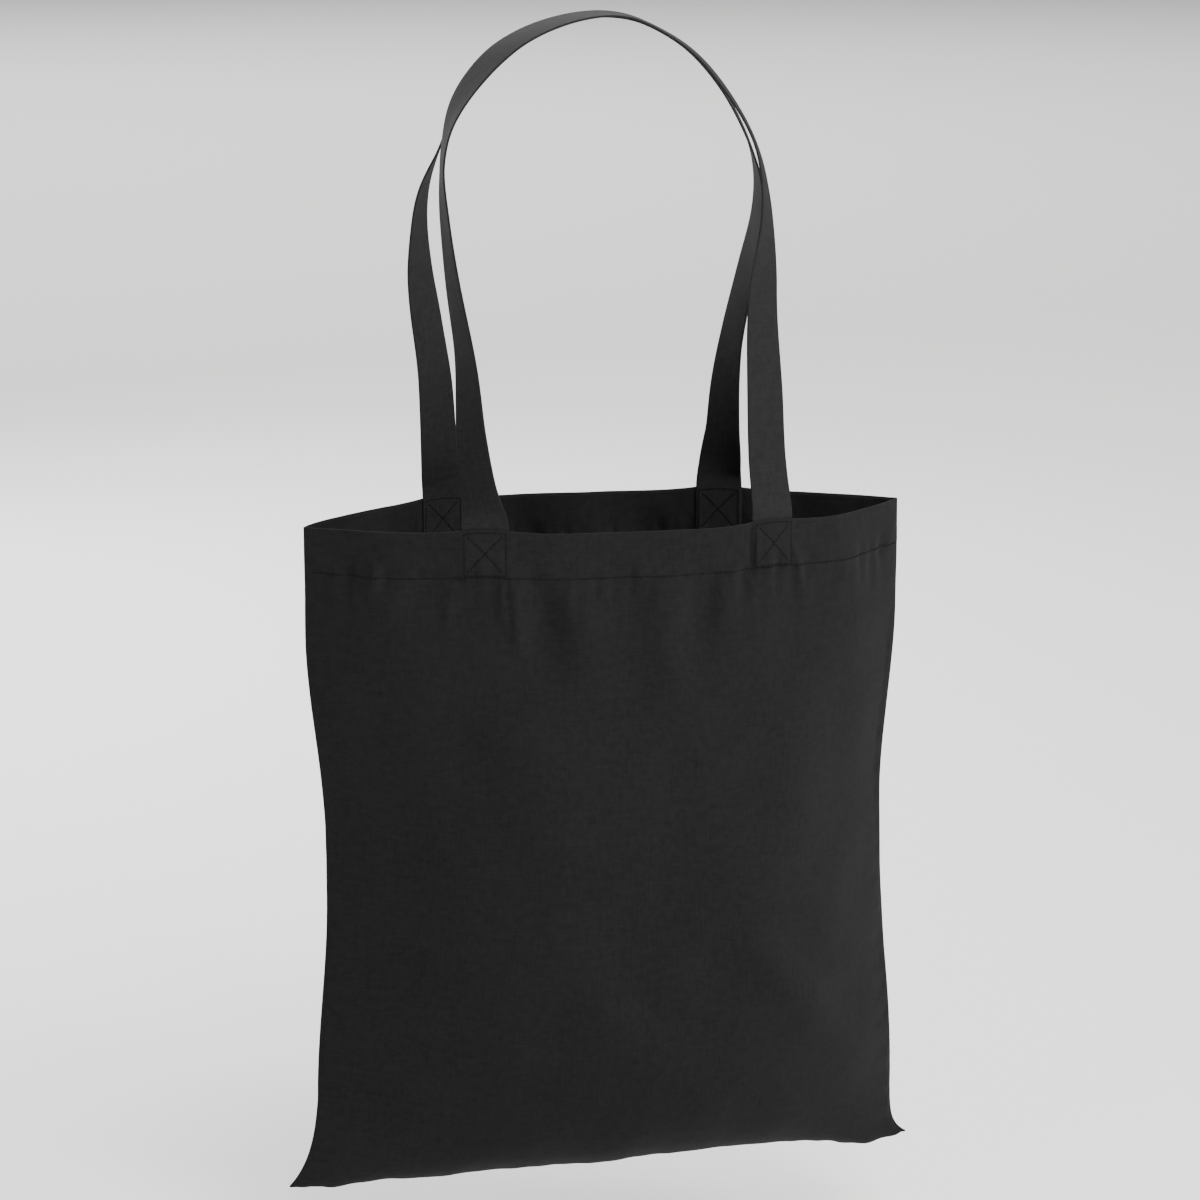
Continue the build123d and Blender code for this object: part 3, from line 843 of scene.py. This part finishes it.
def joined(name, pieces, material):
    """One mesh object from several sets of points and quads."""
    points = np.concatenate([made[0] for made in pieces])
    starts = np.cumsum([0] + [len(made[0]) for made in pieces[:-1]])
    faces = np.concatenate([turned_outwards(made[0], made[1]) + start
                            for made, start in zip(pieces, starts)])
    return new_piece(name, points, faces, material)


def make_overlock(name):
    """Overlock thread: one long coil round the raw edge, and the straight
    needle thread that its loops catch, along both faces."""
    edge, inward, across = seam_frame(name, 2400)
    length = np.linalg.norm(edge[-1] - edge[0])
    turns = np.linspace(0.0, round(length / 0.0034) * 2.0 * math.pi, len(edge))
    spread = SEAM_WIDTH - 0.0024 + 0.0026 * np.cos(turns)
    lift = np.sign(np.sin(turns)) * np.abs(np.sin(turns)) ** 0.45 * (CANVAS + 0.00022)
    coil = edge + inward * spread[:, None] + across * lift[:, None]
    pieces = [tube(coil, 0.0002, 4)]
    for face in (-1.0, 1.0):
        wobble = 0.00008 * np.sin(turns[::8])
        row = edge[::8] + inward[::8] * 0.0035 + across[::8] * (face * (CANVAS + 0.00012) + wobble)[:, None]
        pieces.append(tube(row, 0.00018, 4))
    return joined(f"{name}_overlock_thread", pieces, thread)


for name in ("left", "right", "bottom"):
    node = "bottom_seam" if name == "bottom" else f"{name}_side_seam"
    allowance = make_allowance(name)
    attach(allowance, "bag")
    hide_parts(node)
    overlock = make_overlock(name)
    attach(overlock, "bag")

# -------------------------------------------------------------- stitches
# Lockstitch in dull black thread, 3.1 mm a stitch, seen on the outside
# and the inside: one row along each hem, and at each strap end a square
# with a cross. Every stitch dips into the cloth at both its ends, and those
# ends are coloured near black as painted shade of the needle holes.
STITCH_PITCH = 0.0031
STITCH_LENGTH = 0.0022
THREAD_RADIUS = 0.00034
BOX_WIDTH = 0.0225
BOX_TOP = 0.0018
BOX_HEIGHT = 0.0232
INNER_FACE = -(1.5 * CANVAS + PLY_GAP)
TAB_FACE = TAB_OFFSET - STRAP_THICK / 2.0
# Along one stitch: where its rings stand, how thick each is, and how much
# painted shade of the needle hole colours each ring (1 for near black).
STITCH_SHARES = np.array([0.0, 0.10, 0.22, 0.50, 0.78, 0.90, 1.0])
STITCH_GIRTH = np.array([1.10, 1.75, 1.00, 0.85, 1.00, 1.75, 1.10])
STITCH_PIT_SHADE = np.array([1.0, 1.0, 0.25, 0.0, 0.25, 1.0, 1.0])
STITCH_RINGS = len(STITCH_SHARES)
STITCH_TONE = (0.0130, 0.0130, 0.0132)
# Near black: painted shade of the needle holes at the stitch ends.
NEEDLE_HOLE_SHADE = (0.0002, 0.0002, 0.0002, 1.0)

stitch_thread = thread_material("stitch_thread", STITCH_TONE)
stitch_shader = stitch_thread.node_tree.nodes["Principled BSDF"]
stitch_shader.inputs["Specular IOR Level"].default_value = 0.03
stitch_shader.inputs["Sheen Weight"].default_value = 0.0
# Painted shade: each ring's colour runs from the thread's tone to near black at the needle holes, standing
# in for the shade there.
pit_shade_at = stitch_thread.node_tree.nodes.new("ShaderNodeAttribute")
pit_shade_at.attribute_name = "pit_shade"
pit_shade_ramp = stitch_thread.node_tree.nodes.new("ShaderNodeValToRGB")
pit_shade_ramp.color_ramp.elements[0].color = (*STITCH_TONE, 1.0)
pit_shade_ramp.color_ramp.elements[1].color = NEEDLE_HOLE_SHADE
stitch_thread.node_tree.links.new(pit_shade_at.outputs["Fac"], pit_shade_ramp.inputs["Fac"])
stitch_thread.node_tree.links.new(
    pit_shade_ramp.outputs["Color"], stitch_shader.inputs["Base Color"])


def stitch_ends(path, pitch):
    """Starts and ends of the stitches along a straight line of (x, drop)."""
    start, end = np.array(path[0]), np.array(path[1])
    length = np.linalg.norm(end - start)
    count = max(int(round(length / pitch)), 1)
    middles = (np.arange(count) + 0.5) / count
    reach = min(STITCH_LENGTH, 0.74 * length / count) / length / 2.0
    ends = [start + (end - start) * (middles + way * reach)[:, None] for way in (-1, 1)]
    return ends[0], ends[1]


def stitch_points(side, start, end, offset, out):
    """Capsules for many stitches at once: seven rings of six points along
    each, arched out of the cloth, and wide and low at the two needle holes."""
    place = start[:, None] + (end - start)[:, None] * STITCH_SHARES[None, :, None]
    across = place[..., 0] / half_width(place[..., 1])
    normal = facing(side, across, place[..., 1]) * out
    arch = np.sin(STITCH_SHARES * math.pi)
    line = cloth(side, across, place[..., 1], offset) + normal * (arch * 0.00026 - 0.00014)[None, :, None]
    along = line[:, -1] - line[:, 0]
    along /= np.linalg.norm(along, axis=-1, keepdims=True)
    side_way = np.cross(along[:, None], normal)
    radius = THREAD_RADIUS * STITCH_GIRTH
    turn = np.linspace(0.0, 2.0 * math.pi, 6, endpoint=False)
    rings = side_way[:, :, None] * np.cos(turn)[None, None, :, None]
    rings = rings + normal[:, :, None] * np.sin(turn)[None, None, :, None] * 0.8
    return line[:, :, None] + rings * radius[None, :, None, None]


def stitch_faces(count):
    """Quads of count capsules of rings of six points each."""
    ring = np.arange(STITCH_RINGS - 1)[:, None] * 6
    here = np.arange(6)
    after = (here + 1) % 6
    faces = np.stack([ring + here, ring + after, ring + 6 + after, ring + 6 + here], axis=-1).reshape(-1, 4)
    last = (STITCH_RINGS - 1) * 6
    caps = np.array([[3, 2, 1, 0], [5, 4, 3, 0], [0, 1, 2, 3], [0, 3, 4, 5]])
    caps[2:] += last
    one = np.concatenate([faces, caps])
    return (one[None] + (np.arange(count) * STITCH_RINGS * 6)[:, None, None]).reshape(-1, 4)


def make_stitches(name, side, paths, offsets):
    """Stitches along every path, on the face at each (offset, out or in)."""
    points = []
    for offset, out in offsets:
        for path in paths:
            start, end = stitch_ends(path, STITCH_PITCH)
            points.append(stitch_points(side, start, end, offset, out).reshape(-1, 3))
    points = np.concatenate(points)
    count = len(points) // (STITCH_RINGS * 6)
    piece = new_piece(name, points, turned_outwards(points, stitch_faces(count)), stitch_thread)
    # Each ring's share of painted needle-hole shade, read by the colour ramp.
    pit_shade = piece.data.attributes.new("pit_shade", "FLOAT", "POINT")
    pit_shade.data.foreach_set("value", np.tile(np.repeat(STITCH_PIT_SHADE, 6), count).astype(np.float32))
    return piece


def box_paths(hand):
    """The square with a cross at one strap end, as lines of (x, drop)."""
    left = hand * STRAP_X - BOX_WIDTH / 2.0
    right = left + BOX_WIDTH
    top = BOX_TOP
    bottom = BOX_TOP + BOX_HEIGHT
    gap = STITCH_PITCH * 0.6
    return [
        ((left, top), (right, top)), ((left, bottom), (right, bottom)),
        ((left, top), (left, bottom)), ((right, top), (right, bottom)),
        ((left + gap, top + gap), (right - gap, bottom - gap)),
        ((left + gap, bottom - gap), (right - gap, top + gap)),
    ]


for side in ("front", "rear"):
    for hand, hand_name in ((-1, "left"), (1, "right")):
        faces_out = [(CANVAS / 2.0, 1.0), (TAB_FACE, -1.0)]
        box_thread = make_stitches(f"{side}_{hand_name}_box_thread", side, box_paths(hand), faces_out)
        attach(box_thread, "bag")
        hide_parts(f"{side}_{hand_name}_box_stitch")
    edge = HEM_SHARE * MOUTH_HALF
    stops = (-edge, -STRAP_X - 0.0135, -STRAP_X + 0.0135, STRAP_X - 0.0135, STRAP_X + 0.0135, edge)
    spans = [((a, STITCH_DROP), (b, STITCH_DROP)) for a, b in zip(stops[:-1], stops[1:])]
    rows = []
    for path in spans:
        pieces_across = max(int((path[1][0] - path[0][0]) / 0.02), 1)
        marks = np.linspace(path[0][0], path[1][0], pieces_across + 1)
        rows += [((a, STITCH_DROP), (b, STITCH_DROP)) for a, b in zip(marks[:-1], marks[1:])]
    over_strap = [row for row in rows if abs(abs((row[0][0] + row[1][0]) / 2.0) - STRAP_X) < 0.0134]
    plain = [row for row in rows if row not in over_strap]
    hem_thread = make_stitches(f"{side}_hem_thread", side, rows, [(CANVAS / 2.0, 1.0)])
    inner_thread = make_stitches(f"{side}_hem_inner_thread", side, plain, [(INNER_FACE, -1.0)])
    tab_thread = make_stitches(f"{side}_tab_hem_thread", side, over_strap, [(TAB_FACE, -1.0)])
    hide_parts(f"{side}_hem_stitching")
    for piece in (hem_thread, inner_thread, tab_thread):
        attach(piece, "bag")
